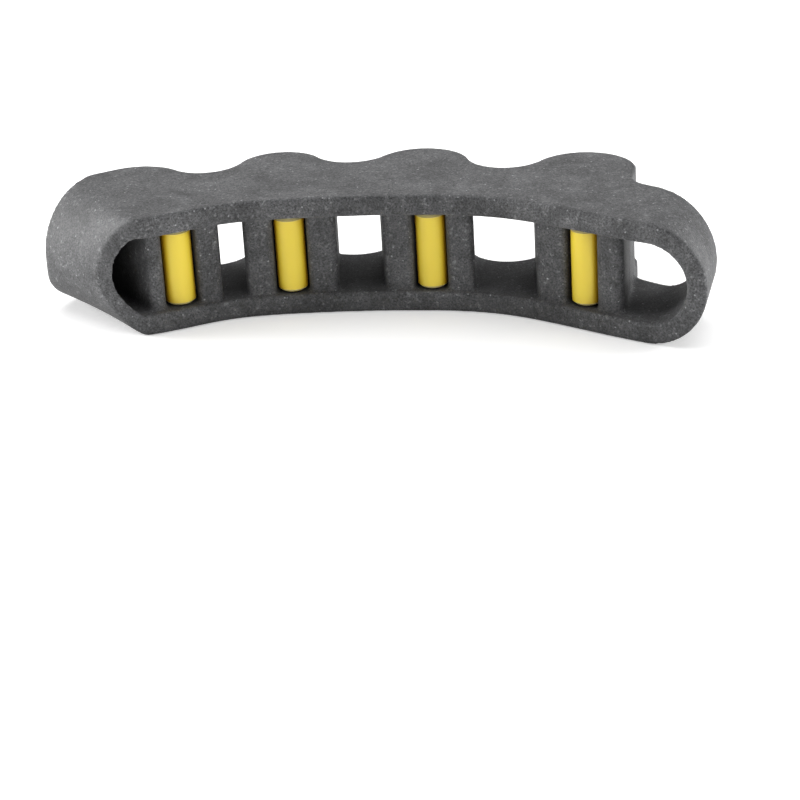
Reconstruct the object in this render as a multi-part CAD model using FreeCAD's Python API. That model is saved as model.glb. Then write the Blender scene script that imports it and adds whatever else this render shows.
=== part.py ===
import FreeCAD, Part
import math
import os

# Five-digit exerciser: one soft moulding of two flat plates joined by four posts, closed by a
# half-round end on the left and a half-round loop on the right, with a round rod in each post.
# The fingers or toes go through the windows between the posts and through the loop.
# Millimetres. X runs along the moulding to the loop, +Y to the lobed side, +Z up.
# The moulding is one piece of silicone. It is divided here only where it bends: each post is
# stiff, and the straps that cross a window are the places that give.

HEIGHT = 17.0
PLATE = 2.9                      # thickness of both plates
GAP = HEIGHT - 2 * PLATE         # clear height between the plates
ROD_DIA = 4.2
ROD_END_CLEARANCE = 0.2          # above and below a rod
ROD_BEVEL = 0.35
SLOT_SIDE_CLEARANCE = 0.2        # each side of a rod
SLOT_MOUTH_ROUND = 0.8
ROD_DEPTH = 1.9                  # rod's axis behind the post's open face
CLOSED_WALL = 2.6                # thickness of the wall inside the closed end's blunt side
POST_CORNER = 1.1                # round on a post's two corners at the open side
BAND_CORNER = 2.0                # round on the closed end's outer corner
SHOULDER_ROUND = 2.5             # round where the closed end's blunt side meets the first lobe

# The plates' outline on the open side, from the closed end to the loop.
OPEN_SIDE = [(-35.8, 2.1), (-30.5, 4.8), (-26.0, 7.3), (-16.0, 9.7), (-1.0, 10.8),
             (12.0, 9.5), (22.0, 5.0), (31.0, 0.3), (42.0, -3.0)]
# The four lobes on the other side: centre x, centre y, radius.
LOBES = [(-39.6, 16.9, 7.4), (-20.0, 23.7, 6.3), (0.1, 24.0, 7.0), (23.1, 21.2, 7.4)]
VALLEY_LOWS = [21.2, 25.2, 22.3]  # y at the foot of each valley between two lobes
LOOP_VALLEY_RADIUS = 3.6
LOOP_FRONT = [(33.4, 14.0), (43.0, 7.8)]  # the loop's face on the lobed side

# The rounded ends: the line where the plates begin to curve, from the open side towards the
# lobes; how far the round reaches beyond it at the line's two ends; the height at which it
# reaches farthest at the two ends; and the band's thickness there.
CLOSED_END = ((-35.8, 2.1), (-47.2, 20.6), (2.8, 11.6), (8.5, 5.9), 1.2)
LOOP_END = ((31.5, -5.0), (33.8, 14.5), (8.2, 8.2), (8.5, 8.5), 2.7)
CLOSED_BACK_DIRECTION = (-0.967, 0.255)   # the closed end's face on the open side
CLOSED_SIDE_DIRECTION = (0.460, 0.888)    # its blunt side, up to the first lobe
CLOSED_WALL_DIRECTION = (0.636, 0.772)    # the wall inside the blunt side

# The posts: open-side corners left and right, and the rounded front's centre and radius.
POSTS = [((-35.2, 4.0), (-25.9, 8.3), (-38.0, 16.6), 7.0),
         ((-23.1, 9.4), (-10.4, 11.4), (-18.6, 22.3), 6.5),
         ((-4.0, 11.9), (8.7, 11.2), (0.4, 23.9), 6.4),
         ((17.3, 8.4), (29.2, 2.6), (23.2, 18.6), 6.9)]
ROD_OFFSETS = [-0.8, 0.0, 0.0, 0.0]       # along the open face, from the middle of the post

OUTLINE_SPARE = 0.4              # the outline's room outside the closed end's round
END_SPARE = 0.5                  # a rounded end's run-on past its line's ends
FAR = 200.0


def vec(p, z=0.0):
    return FreeCAD.Vector(p[0], p[1], z)


def unit(p):
    n = math.hypot(p[0], p[1])
    return (p[0] / n, p[1] / n)


def along(p, d, s):
    return (p[0] + d[0] * s, p[1] + d[1] * s)


def line(a, b):
    return Part.LineSegment(vec(a), vec(b)).toShape()


def arc(a, b, c):
    return Part.Arc(vec(a), vec(b), vec(c)).toShape()


def prism(edges, low, high):
    """The closed outline extruded from low to high."""
    face = Part.Face(Part.Wire(edges))
    solid = face.extrude(FreeCAD.Vector(0, 0, high - low))
    solid.translate(FreeCAD.Vector(0, 0, low))
    return solid


def tangent_circle(one, two, low):
    """The circle that touches both lobes from outside, with its lowest point at y = low."""
    (x1, y1, r1), (x2, y2, r2) = one, two

    def spare(r):
        left = (r1 + r) ** 2 - (low + r - y1) ** 2
        right = (r2 + r) ** 2 - (low + r - y2) ** 2
        return math.sqrt(left) + math.sqrt(right) - (x2 - x1)

    small, large = 0.5, 60.0
    for _ in range(60):
        r = (small + large) / 2
        small, large = (r, large) if spare(r) < 0 else (small, r)
    return (x1 + math.sqrt((r1 + r) ** 2 - (low + r - y1) ** 2), low + r, r)


def tangent_to(point, centre, radius, left):
    """Where the line from point touches the circle, on its left or right as seen from point."""
    dx, dy = centre[0] - point[0], centre[1] - point[1]
    far = math.hypot(dx, dy)
    swing = math.asin(radius / far) * (1 if left else -1)
    reach = math.sqrt(far ** 2 - radius ** 2)
    angle = math.atan2(dy, dx) + swing
    return (point[0] + reach * math.cos(angle), point[1] + reach * math.sin(angle))


def touch(a, b):
    """Where two circles that touch from outside meet."""
    d = unit((b[0] - a[0], b[1] - a[1]))
    return along(a[:2], d, a[2])


def lobed_edges(start):
    """The lobed side from start, on the first lobe, to the loop's face, as tangent arcs."""
    valleys = [tangent_circle(a, b, low) for a, b, low in zip(LOBES, LOBES[1:], VALLEY_LOWS)]
    edges = []
    here = start
    for n, lobe in enumerate(LOBES[:-1]):
        top = (lobe[0], lobe[1] + lobe[2])
        low = (valleys[n][0], VALLEY_LOWS[n])
        foot = touch(lobe, valleys[n])
        rise = touch(LOBES[n + 1], valleys[n])
        edges += [arc(here, top, foot), arc(foot, low, rise)]
        here = rise
    last = LOBES[-1]
    way = unit((LOOP_FRONT[1][0] - LOOP_FRONT[0][0], LOOP_FRONT[1][1] - LOOP_FRONT[0][1]))
    normal = (-way[1], way[0])
    # the valley's centre lies one radius off the loop's face and touches the last lobe
    base = along(LOOP_FRONT[0], normal, LOOP_VALLEY_RADIUS)
    off = (base[0] - last[0], base[1] - last[1])
    b = off[0] * way[0] + off[1] * way[1]
    c = off[0] ** 2 + off[1] ** 2 - (last[2] + LOOP_VALLEY_RADIUS) ** 2
    centre = along(base, way, -b + math.sqrt(b * b - c))
    valley = (centre[0], centre[1], LOOP_VALLEY_RADIUS)
    foot = touch(last, valley)
    flat = along(centre, normal, -LOOP_VALLEY_RADIUS)
    middle = unit(((foot[0] + flat[0]) / 2 - centre[0], (foot[1] + flat[1]) / 2 - centre[1]))
    turn = along(centre, middle, LOOP_VALLEY_RADIUS)
    top = (last[0], last[1] + last[2])
    return edges + [arc(here, top, foot), arc(foot, turn, flat), line(flat, LOOP_FRONT[1])]


def meet(p, d, q, e):
    """Where the line through p along d crosses the line through q along e."""
    det = e[0] * d[1] - d[0] * e[1]
    s = (e[0] * (q[1] - p[1]) - e[1] * (q[0] - p[0])) / det
    return along(p, d, s)


def rounded_corner(corner, before, after, radius):
    """The start, middle and end of the arc that rounds a corner between two directions."""
    a, b = unit(before), unit(after)
    half = math.acos(a[0] * b[0] + a[1] * b[1]) / 2
    reach = radius / math.tan(half)
    middle = along(corner, unit((a[0] + b[0], a[1] + b[1])), radius / math.sin(half) - radius)
    return along(corner, a, reach), middle, along(corner, b, reach)


def closed_edges():
    """The closed end's outline from the open side round to the first lobe."""
    start, end, (near, far) = CLOSED_END[:3]
    d = unit((end[0] - start[0], end[1] - start[1]))
    out = (-d[1], d[0])
    limit = along(start, out, near + OUTLINE_SPARE), along(end, out, far + OUTLINE_SPARE)
    way = unit((limit[1][0] - limit[0][0], limit[1][1] - limit[0][1]))
    side = unit(CLOSED_SIDE_DIRECTION)
    back_corner = meet(start, CLOSED_BACK_DIRECTION, limit[0], way)
    corner = meet(limit[0], way, end, side)
    a, b, c = rounded_corner(corner, (-way[0], -way[1]), side, BAND_CORNER)
    lobe = LOBES[0]
    touching = tangent_to(end, lobe[:2], lobe[2], True)
    rise = (touching[0] - end[0], touching[1] - end[1])
    e, f, g = rounded_corner(end, (-side[0], -side[1]), rise, SHOULDER_ROUND)
    edges = [line(start, back_corner), line(back_corner, a), arc(a, b, c), line(c, e),
             arc(e, f, g), line(g, touching)]
    return edges, touching


def outline():
    """Edges of the plates' outline, with room for the rounded ends."""
    open_side = Part.BSplineCurve()
    open_side.interpolate([vec(p) for p in OPEN_SIDE])
    edges, start = closed_edges()
    return edges + lobed_edges(start) + [line(LOOP_FRONT[1], OPEN_SIDE[-1]), open_side.toShape()]


def oval(point, across, reach, low, wide, high):
    """An upright oval on point from low to high, reach wide along across at height wide."""
    edges = []
    for start, end in ((low, -1), (high, 1)):
        half = Part.Arc(FreeCAD.Vector(0, -1, 0), FreeCAD.Vector(0, 0, end),
                        FreeCAD.Vector(0, 1, 0)).toShape()
        place = FreeCAD.Matrix(across[1], across[0] * reach, 0, point[0],
                               -across[0], across[1] * reach, 0, point[1],
                               0, 0, abs(start - wide), wide, 0, 0, 0, 1)
        edges.append(half.transformGeometry(place))
    return Part.Wire(edges)


def rounded_end(end, wall, low, high, sign):
    """The oval bar along an end's line, thinned by wall and run on past both of its ends."""
    start, stop, reaches, wides, _ = end
    length = math.hypot(stop[0] - start[0], stop[1] - start[1])
    d = unit((stop[0] - start[0], stop[1] - start[1]))
    across = (-d[1] * sign, d[0] * sign)
    rings = []
    for s in (-END_SPARE, length + END_SPARE):
        reach = reaches[0] + (reaches[1] - reaches[0]) * s / length - wall
        wide = wides[0] + (wides[1] - wides[0]) * s / length
        rings.append(oval(along(start, d, s), across, reach, low, wide, high))
    return Part.makeLoft(rings, True, True)


def beyond(point, direction, sign):
    """Everything on one side of the upright plane through point along direction."""
    d = unit(direction)
    side = (-d[1] * sign, d[0] * sign)
    a = along(point, d, -FAR)
    b = along(point, d, FAR)
    return prism([line(a, b), line(b, along(b, side, FAR)),
                  line(along(b, side, FAR), along(a, side, FAR)), line(along(a, side, FAR), a)],
                 -FAR / 4, FAR / 4)


def with_round_ends(body, wall):
    """The body with both ends rounded, each drawn in by its own wall when wall is 1."""
    low = PLATE * wall
    for end, sign in ((CLOSED_END, 1), (LOOP_END, -1)):
        d = (end[1][0] - end[0][0], end[1][1] - end[0][1])
        outer = beyond(end[0], d, sign)
        rounded = body.common(outer).common(rounded_end(end, end[4] * wall, low, HEIGHT - low, sign))
        body = body.cut(outer).fuse(rounded)
    return body.removeSplitter()


def envelope():
    """The moulding's outside: its outline at full height, with both ends rounded."""
    return with_round_ends(prism(outline(), 0, HEIGHT), 0)


def hollow():
    """The space between the plates, with its two rounded ends."""
    return with_round_ends(prism(outline(), PLATE, HEIGHT - PLATE), 1)


def post_sides(post):
    left, right, centre, radius = post
    return tangent_to(left, centre, radius, True), tangent_to(right, centre, radius, False)


def post_frame(post):
    """The middle of a post's open face, the way along it and the way into the post."""
    left, right = post[0], post[1]
    way = unit((right[0] - left[0], right[1] - left[1]))
    return ((left[0] + right[0]) / 2, (left[1] + right[1]) / 2), way, (-way[1], way[0])


def rod_centre(n):
    middle, way, inward = post_frame(POSTS[n])
    return along(along(middle, way, ROD_OFFSETS[n]), inward, ROD_DEPTH)


def upright(solid, corners):
    """The upright edges of solid that stand on the given corners."""
    found = []
    for edge in solid.Edges:
        a, b = edge.Vertexes[0].Point, edge.Vertexes[-1].Point
        if abs(a.x - b.x) < 1e-6 and abs(a.y - b.y) < 1e-6:
            if any(math.hypot(a.x - x, a.y - y) < 1e-3 for x, y in corners):
                found.append(edge)
    return found


def slot(n):
    """The round-ended slot that a rod slides out of, with rounded lips at its mouth."""
    _, way, inward = post_frame(POSTS[n])
    centre = rod_centre(n)
    half = ROD_DIA / 2 + SLOT_SIDE_CLEARANCE
    lip = along(centre, inward, -ROD_DEPTH)
    out = along(lip, inward, -4.0)
    left, right = along(centre, way, -half), along(centre, way, half)
    cut = prism([line(along(out, way, -half), left), arc(left, along(centre, inward, half), right),
                 line(right, along(out, way, half)),
                 line(along(out, way, half), along(out, way, -half))], PLATE, HEIGHT - PLATE)
    for side in (-1, 1):
        edge = along(lip, way, side * half)
        r = SLOT_MOUTH_ROUND
        a = along(edge, inward, r)
        b = along(edge, way, side * r)
        turn = along(along(edge, way, side * r * (1 - math.sqrt(0.5))),
                     inward, r * (1 - math.sqrt(0.5)))
        cut = cut.fuse(prism([line(edge, a), arc(a, turn, b), line(b, edge)],
                             PLATE, HEIGHT - PLATE))
    return cut


def post_column(n):
    """A post between the plates: two flat sides, a round front, and the rod's slot."""
    left, right, centre, radius = POSTS[n]
    left_touch, right_touch = post_sides(POSTS[n])
    front = along(centre, unit((centre[0] - (left[0] + right[0]) / 2,
                                centre[1] - (left[1] + right[1]) / 2)), radius)
    column = prism([line(left, left_touch), arc(left_touch, front, right_touch),
                    line(right_touch, right), line(right, left)], PLATE, HEIGHT - PLATE)
    column = column.makeFillet(POST_CORNER, upright(column, (left, right)))
    return column.cut(slot(n))


def closed_wall():
    """The wall that shuts the closed end, from the first post to the end's band."""
    _, _, centre, radius = POSTS[0]
    side = unit(CLOSED_WALL_DIRECTION)
    left = (-side[1], side[0])
    a = along(centre, left, radius)
    b = along(a, side, -16.0)
    return prism([line(a, b), line(b, along(b, left, -CLOSED_WALL)),
                  line(along(b, left, -CLOSED_WALL), along(a, left, -CLOSED_WALL)),
                  line(along(a, left, -CLOSED_WALL), a)], PLATE, HEIGHT - PLATE)


def moulding():
    body = envelope().cut(hollow())
    space = envelope()
    for n in range(len(POSTS)):
        body = body.fuse(post_column(n))
    return body.fuse(closed_wall().common(space)).removeSplitter()


def cuts():
    """The upright planes that bound the straps, as (point, direction), from left to right."""
    planes = []
    for n, post in enumerate(POSTS):
        left_touch, right_touch = post_sides(post)
        planes.append((post[0], (left_touch[0] - post[0][0], left_touch[1] - post[0][1])))
        planes.append((post[1], (right_touch[0] - post[1][0], right_touch[1] - post[1][1])))
    start, stop = LOOP_END[:2]
    return planes + [(start, (stop[0] - start[0], stop[1] - start[1]))]


def between(body, left, right):
    """The part of body right of the left plane and left of the right one."""
    if left:
        body = body.cut(beyond(left[0], left[1], 1))
    if right:
        body = body.common(beyond(right[0], right[1], 1))
    return body


def only(body):
    """The one solid in body."""
    solid, = body.Solids
    return solid


def halves(body):
    """A window's two straps, upper and lower."""
    solids = sorted(body.Solids, key=lambda s: s.CenterOfMass.z)
    return solids[-1], solids[0]


def rod(n):
    x, y = rod_centre(n)
    length = GAP - 2 * ROD_END_CLEARANCE
    solid = Part.makeCylinder(ROD_DIA / 2, length,
                              FreeCAD.Vector(x, y, PLATE + ROD_END_CLEARANCE))
    ends = [e for e in solid.Edges if isinstance(e.Curve, Part.Circle)]
    return solid.makeChamfer(ROD_BEVEL, ends)


def nodes():
    body = moulding()
    planes = cuts()
    made = {"closed_end": only(between(body, None, planes[0]))}
    for n in range(len(POSTS)):
        made[f"post_{n + 1}"] = only(between(body, planes[2 * n], planes[2 * n + 1]))
        beyond_it = f"{n + 1}_{n + 2}" if n < len(POSTS) - 1 else f"{n + 1}_loop"
        upper, lower = halves(between(body, planes[2 * n + 1], planes[2 * n + 2]))
        made[f"upper_strap_{beyond_it}"] = upper
        made[f"lower_strap_{beyond_it}"] = lower
        made[f"rod_{n + 1}"] = rod(n)
    made["end_loop"] = only(between(body, planes[-1], None))
    box = envelope().optimalBoundingBox()
    shift = FreeCAD.Vector(-box.Center.x, -box.Center.y, 0)
    for shape in made.values():
        shape.translate(shift)
    return made, shift


def main():
    os.makedirs("parts", exist_ok=True)
    made, _ = nodes()
    for name, shape in made.items():
        shape.exportStep(f"parts/{name}.step")


if __name__ == "__main__":
    main()
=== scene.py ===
import math

import bpy
import numpy as np
from mathutils import Matrix, Vector
from mathutils.bvhtree import BVHTree


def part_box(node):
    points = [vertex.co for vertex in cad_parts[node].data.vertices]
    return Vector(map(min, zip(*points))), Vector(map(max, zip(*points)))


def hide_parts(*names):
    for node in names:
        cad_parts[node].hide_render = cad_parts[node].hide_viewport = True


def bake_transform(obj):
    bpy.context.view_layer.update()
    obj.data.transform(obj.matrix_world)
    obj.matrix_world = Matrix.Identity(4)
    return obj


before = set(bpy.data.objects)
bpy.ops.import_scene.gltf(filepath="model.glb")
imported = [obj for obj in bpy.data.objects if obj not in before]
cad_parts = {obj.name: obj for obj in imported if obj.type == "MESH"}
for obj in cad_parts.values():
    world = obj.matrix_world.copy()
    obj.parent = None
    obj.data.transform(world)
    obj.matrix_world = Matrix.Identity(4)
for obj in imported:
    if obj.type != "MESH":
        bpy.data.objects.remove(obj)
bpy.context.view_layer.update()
MM = 0.001

# ---------------------------------------------------------------- the moulding's soft skin
CELL = 0.30 * MM                 # grid step
SUB = 3                          # rays per grid step, each way
SPARE = 2                        # rays cast past the moulding's box, each side
LIFT = 2e-6                      # takes a ray off the face it has just met
LEVEL = 0.5                      # share of a filled cell at which the skin lies
SOFTEN = 0.19 * MM               # blur that rounds the edges
RIDGE = 0.42 * MM                # wider blur that finds the ridges, where a highlight is painted
PAD = 6                          # empty cells round the grid
MID_HEIGHT = 0.0085              # half the moulding's height

POSTS = ("post_1", "post_2", "post_3", "post_4")
WINDOWS = ("1_2", "2_3", "3_4")
MOULDING = ["closed_end", "end_loop", *POSTS,
            *[f"{side}_strap_{w}" for w in (*WINDOWS, "4_loop") for side in ("upper", "lower")]]


def filled_share():
    """How much of each grid cell the moulding's nodes fill, from upright rays through them."""
    verts, faces = [], []
    for name in MOULDING:
        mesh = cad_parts[name].data
        base = len(verts)
        verts += [v.co.copy() for v in mesh.vertices]
        faces += [tuple(base + i for i in p.vertices) for p in mesh.polygons]
    tree = BVHTree.FromPolygons(verts, faces)
    co = np.array(verts)
    low = co.min(0) - PAD * CELL
    size = np.ceil((co.max(0) - co.min(0)) / CELL).astype(int) + 2 * PAD
    share = np.zeros(size, np.float32)
    bottoms = low[2] + np.arange(size[2]) * CELL
    up = Vector((0, 0, 1))
    step = CELL / SUB
    for i in range(PAD * SUB - SPARE, (size[0] - PAD) * SUB + SPARE):
        x = low[0] + (i + 0.5) * step
        for j in range(PAD * SUB - SPARE, (size[1] - PAD) * SUB + SPARE):
            y = low[1] + (j + 0.5) * step
            crossings = []
            start = Vector((x, y, low[2]))
            while True:
                hit = tree.ray_cast(start, up)[0]
                if hit is None:
                    break
                crossings.append(hit.z)
                start = hit + up * LIFT
            if len(crossings) % 2:
                continue
            for a, b in zip(crossings[::2], crossings[1::2]):
                inside = np.minimum(bottoms + CELL, b) - np.maximum(bottoms, a)
                share[i // SUB, j // SUB] += np.clip(inside / CELL, 0, 1) / SUB ** 2
    return share, low + CELL / 2


def blurred(share, width):
    """The share under a Gaussian blur of this width."""
    reach = math.ceil(3 * width / CELL)
    taps = np.exp(-0.5 * (np.arange(-reach, reach + 1) * CELL / width) ** 2)
    taps /= taps.sum()
    for axis in range(3):
        share = sum(t * np.roll(share, k - reach, axis) for k, t in enumerate(taps))
    return share


def sampled(field, points):
    """The field's values at points given in grid steps."""
    low = np.floor(points).astype(int)
    part = points - low
    total = 0
    for c in np.ndindex(2, 2, 2):
        weight = np.prod([part[:, k] if c[k] else 1 - part[:, k] for k in range(3)], axis=0)
        total = total + weight[:, None] * field[tuple((low + c).T)]
    return total


def surface(share, origin):
    """The softened share's half-filled surface: points, outward normals, ridges and quads."""
    field = blurred(share, SOFTEN)
    inside = field > LEVEL
    index = np.full(field.shape, -1, np.int64)
    total = np.zeros((*field.shape, 3))
    count = np.zeros(field.shape)
    corner = [(0, 0, 0), (1, 0, 0), (0, 1, 0), (1, 1, 0), (0, 0, 1), (1, 0, 1), (0, 1, 1), (1, 1, 1)]

    def at(a, c):
        """The values of a at corner c of every cell."""
        n = a.shape
        return a[c[0]:n[0] - 1 + c[0], c[1]:n[1] - 1 + c[1], c[2]:n[2] - 1 + c[2]]

    core = (slice(0, -1),) * 3
    for p in corner:
        for q in corner:
            if sum(q) == sum(p) + 1 and all(b >= a for a, b in zip(p, q)):
                f, g = at(field, p), at(field, q)
                crossed = at(inside, p) != at(inside, q)
                t = np.where(crossed, (LEVEL - f) / np.where(crossed, g - f, 1), 0)
                for k in range(3):
                    total[core][..., k] += np.where(crossed, p[k] + t * (q[k] - p[k]), 0)
                count[core] += crossed
    cells = np.argwhere(count > 0)
    index[tuple(cells.T)] = np.arange(len(cells))
    points = cells + total[tuple(cells.T)] / count[tuple(cells.T)][:, None]
    slope = np.stack(np.gradient(field), -1)
    normals = -sampled(slope, points)
    normals /= np.linalg.norm(normals, axis=1)[:, None]
    # each point's ridge strength, which the material turns into a painted highlight
    ridges = LEVEL - sampled(blurred(share, RIDGE)[..., None], points)[:, 0]
    quads = []
    for k in range(3):
        u, v = (k + 1) % 3, (k + 2) % 3
        ahead = [slice(None)] * 3
        ahead[k] = slice(1, None)
        behind = [slice(None)] * 3
        behind[k] = slice(0, -1)
        crossed = np.argwhere(inside[tuple(ahead)] != inside[tuple(behind)])
        leaving = inside[tuple(behind)][tuple(crossed.T)]
        ring = []
        for du, dv in ((0, 0), (-1, 0), (-1, -1), (0, -1)):
            c = crossed.copy()
            c[:, u] += du
            c[:, v] += dv
            ring.append(index[tuple(c.T)])
        ring = np.stack(ring, -1)
        ring = np.where(leaving[:, None], ring, ring[:, ::-1])
        quads.append(ring)
    return origin + points * CELL, normals, ridges, np.concatenate(quads)


def plan_middle(name):
    """The middle of a node's outline, in plan."""
    low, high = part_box(name)
    return np.array([(low[k] + high[k]) / 2 for k in range(2)])


LEFT, RIGHT = -1, 1
UPRIGHT, FACING = 0.1, 0.85      # an end face's normal: most along Z, least along X


def flank(name, end):
    """A line fitted to the left or right end face of a strap: its middle and way, in plan."""
    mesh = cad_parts[name].data
    co = np.array([v.co for v in mesh.vertices])[:, :2]
    face = []
    for p in mesh.polygons:
        if abs(p.normal.z) < UPRIGHT and p.normal.x * end > FACING:
            face += [co[i] for i in p.vertices]
    face = np.array(face)
    middle = face.mean(0)
    way = np.linalg.svd(face - middle)[2][0]
    return middle, way * np.sign(way[1])


def make_piece(name, points, normals, ridges, quads, material):
    """A mesh of some of the skin's quads, with the whole skin's normals at its border."""
    ids, flat = np.unique(quads, return_inverse=True)
    mesh = bpy.data.meshes.new(name)
    mesh.from_pydata(points[ids].tolist(), [], flat.reshape(-1, 4).tolist())
    mesh.shade_smooth()
    mesh.normals_split_custom_set_from_vertices(normals[ids].tolist())
    # the ridge strength is stored for the material's painted highlight along the edges
    mesh.attributes.new("ridge_highlight", "FLOAT", "POINT").data.foreach_set("value", ridges[ids])
    mesh.materials.append(material)
    obj = bpy.data.objects.new(name, mesh)
    bpy.context.scene.collection.objects.link(obj)
    return obj


# ---------------------------------------------------------------- materials
GREY = (0.074, 0.0745, 0.0765, 1)
# Rod colours: a darker copy that paints shade in the slots, the clear yellow itself, and a pale copy
# that paints a highlight on the bevels.
SHADE_PAINTED_YELLOW = (0.50, 0.27, 0.006, 1)
CLEAR_YELLOW = (0.90, 0.69, 0.050, 1)
HIGHLIGHT_PAINTED_YELLOW = (0.93, 0.85, 0.42, 1)
NEAR_WHITE = (0.95, 0.95, 0.95, 1)
WHITE = (1, 1, 1, 1)
BEVEL_FROM, BEVEL_TO = 0.00495, 0.00515    # the rod's bevel, from its mid height


def shader(name):
    """A new material, its node tree and its main shader."""
    mat = bpy.data.materials.new(name)
    mat.use_nodes = True
    tree = mat.node_tree
    return mat, tree, tree.nodes["Principled BSDF"]


def node(tree, kind, **values):
    """A new node; each value goes to the input of that name, or else to the setting."""
    made = tree.nodes.new(kind)
    for key, value in values.items():
        if key in made.inputs:
            made.inputs[key].default_value = value
        else:
            setattr(made, key, value)
    return made


def scaled(tree, source, low, high, least, most):
    """Source, from low to high, as a factor from least to most."""
    ramp = node(tree, "ShaderNodeMapRange", **{"From Min": low, "From Max": high,
                                               "To Min": least, "To Max": most})
    tree.links.new(source, ramp.inputs["Value"])
    return ramp.outputs["Result"]


def silicone():
    """Matt grey silicone: mottled and dust-specked, with a painted highlight on its ridges and
    painted shade in its recesses.
    """
    mat, tree, bsdf = shader("grey_silicone")
    link = tree.links.new
    place = node(tree, "ShaderNodeTexCoord")
    fine = node(tree, "ShaderNodeTexNoise", Scale=3800.0, Detail=3.0, Roughness=0.8)
    grain = node(tree, "ShaderNodeTexNoise", Scale=700.0, Detail=3.0, Roughness=0.7)
    cloud = node(tree, "ShaderNodeTexNoise", Scale=170.0, Detail=5.0, Roughness=0.6,
                 Distortion=0.8)
    specks = node(tree, "ShaderNodeTexVoronoi", Scale=800.0)
    fleck = node(tree, "ShaderNodeTexNoise", Scale=1700.0, Detail=1.0)
    for texture in (fine, grain, cloud, specks, fleck):
        link(place.outputs["Object"], texture.inputs["Vector"])
    # painted highlight: the ridge strength lightens the silicone along its edges
    ridge_highlight = node(tree, "ShaderNodeAttribute", attribute_name="ridge_highlight")
    # painted shade: ambient occlusion darkens the silicone in its recesses
    recess_shade_ao = node(tree, "ShaderNodeAmbientOcclusion", samples=8, Distance=0.011)
    factors = [scaled(tree, fine.outputs["Fac"], 0.3, 0.7, 0.30, 1.85),
               scaled(tree, grain.outputs["Fac"], 0.3, 0.7, 0.84, 1.18),
               scaled(tree, cloud.outputs["Fac"], 0.3, 0.7, 0.66, 1.34),
               scaled(tree, specks.outputs["Distance"], 0.05, 0.12, 3.4, 1.0),
               scaled(tree, fleck.outputs["Fac"], 0.60, 0.72, 0.97, 1.7),
               scaled(tree, ridge_highlight.outputs["Fac"], 0.11, 0.21, 1.0, 1.75),
               scaled(tree, recess_shade_ao.outputs["AO"], 0.06, 0.75, 0.14, 1.05)]
    shade = factors[0]
    for factor in factors[1:]:
        product = node(tree, "ShaderNodeMath", operation="MULTIPLY")
        link(shade, product.inputs[0])
        link(factor, product.inputs[1])
        shade = product.outputs[0]
    tint = node(tree, "ShaderNodeMixRGB", blend_type="MULTIPLY")
    tint.inputs["Fac"].default_value = 1.0
    tint.inputs["Color1"].default_value = GREY
    link(shade, tint.inputs["Color2"])
    link(tint.outputs["Color"], bsdf.inputs["Base Color"])
    bsdf.inputs["Roughness"].default_value = 0.62
    bsdf.inputs["Specular IOR Level"].default_value = 0.25
    bsdf.inputs["Sheen Weight"].default_value = 0.06
    bsdf.inputs["Sheen Roughness"].default_value = 0.5
    bump = node(tree, "ShaderNodeBump", Strength=0.6, Distance=0.00009)
    link(fine.outputs["Fac"], bump.inputs["Height"])
    link(bump.outputs["Normal"], bsdf.inputs["Normal"])
    return mat


def yellow():
    """Satin yellow plastic, with painted shade in the slots and a painted highlight on the bevelled
    ends.
    """
    mat, tree, bsdf = shader("yellow_rod")
    link = tree.links.new
    place = node(tree, "ShaderNodeTexCoord")
    parts = node(tree, "ShaderNodeSeparateXYZ")
    link(place.outputs["Object"], parts.inputs["Vector"])
    height = node(tree, "ShaderNodeMath", operation="SUBTRACT")
    link(parts.outputs["Z"], height.inputs[0])
    height.inputs[1].default_value = MID_HEIGHT
    from_middle = node(tree, "ShaderNodeMath", operation="ABSOLUTE")
    link(height.outputs[0], from_middle.inputs[0])
    # painted highlight: the bevelled ends are mixed towards pale yellow
    rim_highlight = scaled(tree, from_middle.outputs[0], BEVEL_FROM, BEVEL_TO, 0.0, 0.75)
    # painted shade: where ambient occlusion finds the rod hemmed in by its slot, it is mixed towards
    # the darker yellow
    recess_shade_ao = node(tree, "ShaderNodeAmbientOcclusion", samples=8, Distance=0.004)
    open_share = scaled(tree, recess_shade_ao.outputs["AO"], 0.25, 0.85, 0.0, 1.0)
    body = node(tree, "ShaderNodeMixRGB")
    body.inputs["Color1"].default_value = SHADE_PAINTED_YELLOW
    body.inputs["Color2"].default_value = CLEAR_YELLOW
    link(open_share, body.inputs["Fac"])
    ends = node(tree, "ShaderNodeMixRGB")
    ends.inputs["Color2"].default_value = HIGHLIGHT_PAINTED_YELLOW
    link(body.outputs["Color"], ends.inputs["Color1"])
    link(rim_highlight, ends.inputs["Fac"])
    link(ends.outputs["Color"], bsdf.inputs["Base Color"])
    bsdf.inputs["Roughness"].default_value = 0.36
    bsdf.inputs["Subsurface Weight"].default_value = 0.12
    bsdf.inputs["Subsurface Radius"].default_value = (0.0010, 0.0007, 0.0001)
    return mat


def pale_floor():
    """Near-white matt paper with a faint glow, which keeps its shadows light."""
    mat, _, bsdf = shader("pale_floor")
    bsdf.inputs["Base Color"].default_value = NEAR_WHITE
    bsdf.inputs["Roughness"].default_value = 0.8
    bsdf.inputs["Emission Color"].default_value = WHITE
    bsdf.inputs["Emission Strength"].default_value = 0.32
    return mat


# ---------------------------------------------------------------- build
grey = silicone()
share, origin = filled_share()
points, normals, ridges, quads = surface(share, origin)
centres = points[quads].mean(1)[:, :2]

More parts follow.
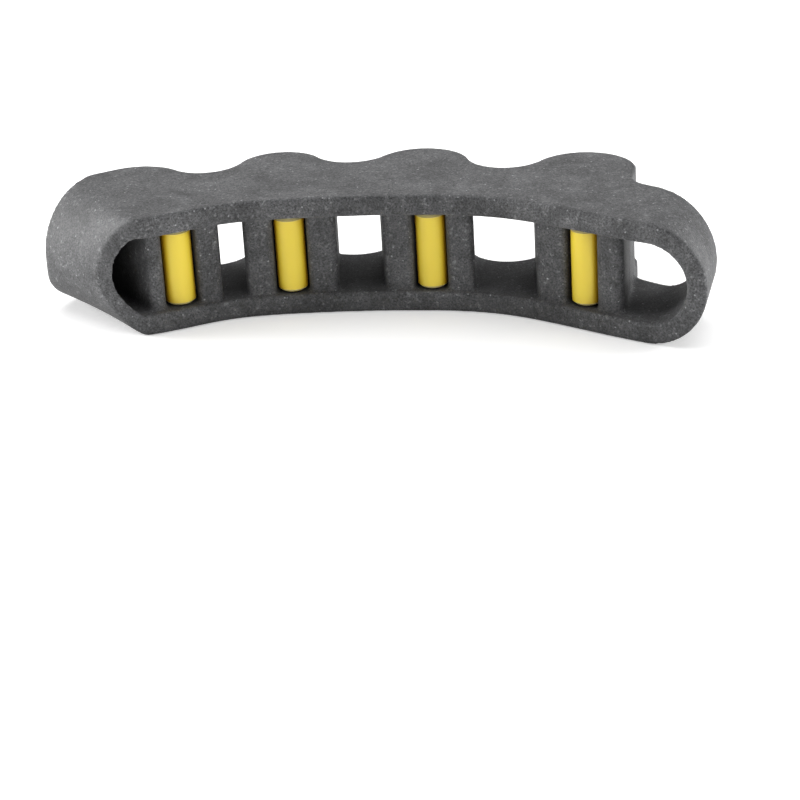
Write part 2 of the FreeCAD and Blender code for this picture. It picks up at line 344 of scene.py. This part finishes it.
seams = []                       # each window's middle line: a point on it, its normal to +X
for n, w in enumerate(WINDOWS):
    strap = f"upper_strap_{w}"
    (a, da), (b, db) = flank(strap, LEFT), flank(strap, RIGHT)
    way = (da + db) / np.linalg.norm(da + db)
    seams.append(((a + b) / 2, np.array([way[1], -way[0]])))
cuts = [seams[0]]                # where the skin is cut: at the seams and rods 2 to 4, in turn
for n in range(1, len(POSTS)):
    mouth = plan_middle(f"rod_{n + 1}")
    left, right = seams[n - 1], seams[min(n, len(seams) - 1)]
    way = left[1] + right[1]
    cuts.append((mouth, way / np.linalg.norm(way)))
    if n < len(seams):
        cuts.append(seams[n])

side = np.stack([(centres - p) @ d for p, d in cuts], -1)
zone = (side > 0).sum(1)
ZONE_BODIES = [("post_1", "straps_1_2"), ("straps_1_2", "post_2"), ("post_2", "straps_2_3"),
               ("straps_2_3", "post_3"), ("post_3", "straps_3_4"), ("straps_3_4", "post_4"),
               ("post_4", "end_loop")]
STANDS_FOR = [("closed_end", "post_1"), ("upper_strap_1_2", "lower_strap_1_2"), ("post_2",),
              ("upper_strap_2_3", "lower_strap_2_3"), ("post_3",),
              ("upper_strap_3_4", "lower_strap_3_4", "post_4"),
              ("upper_strap_4_loop", "lower_strap_4_loop", "end_loop")]
for n, (bodies, nodes) in enumerate(zip(ZONE_BODIES, STANDS_FOR)):
    piece = make_piece(f"skin_{n + 1}", points, normals, ridges, quads[zone == n], grey)
    if n < 2 * len(WINDOWS):
        point, way = seams[n // 2]
    else:
        strap = "upper_strap_4_loop"
        (a, along), (b, _) = flank(strap, LEFT), flank(strap, RIGHT)
    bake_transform(piece)
    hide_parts(*nodes)

rod_material = yellow()
for n in range(1, 5):
    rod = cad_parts[f"rod_{n}"]
    rod.data.materials.clear()
    rod.data.materials.append(rod_material)
    rod.data.shade_smooth()

# ---------------------------------------------------------------- floor, light, camera
bpy.ops.mesh.primitive_plane_add(size=4.0, location=(0, 0, 0))
floor = bpy.context.object
floor.data.materials.append(pale_floor())

scene = bpy.context.scene
world = bpy.data.worlds.new("studio")
scene.world = world
world.use_nodes = True
background = world.node_tree.nodes["Background"]
background.inputs["Color"].default_value = WHITE
background.inputs["Strength"].default_value = 0.18
scene.view_settings.view_transform = "Standard"


def area_light(name, place, size, power):
    """A round white lamp that faces the middle of the floor."""
    light = bpy.data.lights.new(name, "AREA")
    light.shape = "DISK"
    light.size = size
    light.energy = power
    obj = bpy.data.objects.new(name, light)
    obj.location = place
    obj.rotation_euler = (-Vector(place)).to_track_quat("-Z", "Y").to_euler()
    scene.collection.objects.link(obj)


area_light("overhead", (0.0, 0.20, 0.80), size=1.3, power=6.9)
area_light("left", (-0.58, 0.12, 0.10), size=0.35, power=5.8)
area_light("right", (0.60, 0.15, 0.18), size=0.3, power=2.8)
area_light("front", (0.42, -0.48, 0.30), size=0.5, power=0.85)


def set_camera(azimuth, elevation, roll, distance, target, focal, shift):
    """The scene's camera: angles in degrees, distance from the target in metres."""
    az, el, turn = (math.radians(v) for v in (azimuth, elevation, roll))
    ahead = Vector((math.sin(az) * math.cos(el), math.cos(az) * math.cos(el), -math.sin(el)))
    right = Vector((math.cos(az), -math.sin(az), 0))
    up = right.cross(ahead)
    across = right * math.cos(turn) + up * math.sin(turn)
    above = up * math.cos(turn) - right * math.sin(turn)
    basis = Matrix((across, above, -ahead)).transposed().to_4x4()
    camera = bpy.data.cameras.new("camera")
    camera.lens = focal
    camera.sensor_width = 36.0
    camera.shift_x, camera.shift_y = shift
    camera.clip_start = 0.01
    obj = bpy.data.objects.new("camera", camera)
    obj.matrix_world = Matrix.Translation(Vector(target) - ahead * distance) @ basis
    scene.collection.objects.link(obj)
    scene.camera = obj


set_camera(azimuth=-8.779, elevation=21.187, roll=-3.439, distance=0.31002,
           target=(0.00051, 0.00013, MID_HEIGHT), focal=100.64, shift=(0.02375, -0.19375))
